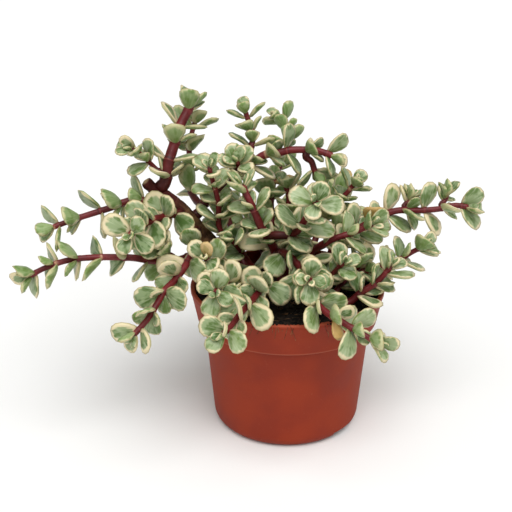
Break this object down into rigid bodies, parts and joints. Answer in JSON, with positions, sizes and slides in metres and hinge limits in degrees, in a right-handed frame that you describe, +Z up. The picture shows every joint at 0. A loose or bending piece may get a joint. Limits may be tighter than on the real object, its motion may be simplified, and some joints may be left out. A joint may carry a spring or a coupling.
{
  "type": "potted elephant bush",
  "caption": "Bushy potted succulent: a lumpy old trunk and spreading red jointed stems with paired fleshy variegated leaves, standing in soil in a collared nursery pot",
  "frame": {"origin": "middle of the pot's underside, on the surface that it stands on", "axes": "+Z up; the front of the plant looks along -Y; +X to the right, along the plant's longest spread"},
  "size_m": [0.2899, 0.2125, 0.2065],
  "materials": {
    "pot_plastic": "moulded polypropylene, satin",
    "peat": "moist dark peat, matt",
    "wood": "brown cracked bark, matt",
    "leafy_stem": "smooth fleshy variegated leaves on red stems, satin"
  },
  "bodies": {
    "root": {"back_left_high": "leafy_stem", "back_left_low": "leafy_stem", "back_middle_high": "leafy_stem", "back_middle_low": "leafy_stem", "back_right_high": "leafy_stem", "back_right_low": "leafy_stem", "behind_upright": "leafy_stem", "dark_upright": "leafy_stem", "front_left": "leafy_stem", "front_left_rosette": "leafy_stem", "front_rosette": "leafy_stem", "inner_left": "leafy_stem", "inner_middle": "leafy_stem", "inner_right": "leafy_stem", "inner_top": "leafy_stem", "left_drooping": "leafy_stem", "left_front": "leafy_stem", "left_long": "leafy_stem", "left_low": "leafy_stem", "left_twig": "leafy_stem", "left_upright": "leafy_stem", "left_upright_side": "leafy_stem", "middle_rosette": "leafy_stem", "middle_up": "leafy_stem", "old_trunk": "wood", "pot": "pot_plastic", "right_back": "leafy_stem", "right_behind": "leafy_stem", "right_drooping": "leafy_stem", "right_front": "leafy_stem", "right_long": "leafy_stem", "right_long_end": "leafy_stem", "right_long_side": "leafy_stem", "right_middle": "leafy_stem", "rim_right": "leafy_stem", "soil": "peat", "top_arch": "leafy_stem", "top_hanging": "leafy_stem", "top_middle": "leafy_stem", "top_short": "leafy_stem", "top_thin": "leafy_stem"}
  },
  "joints": []
}
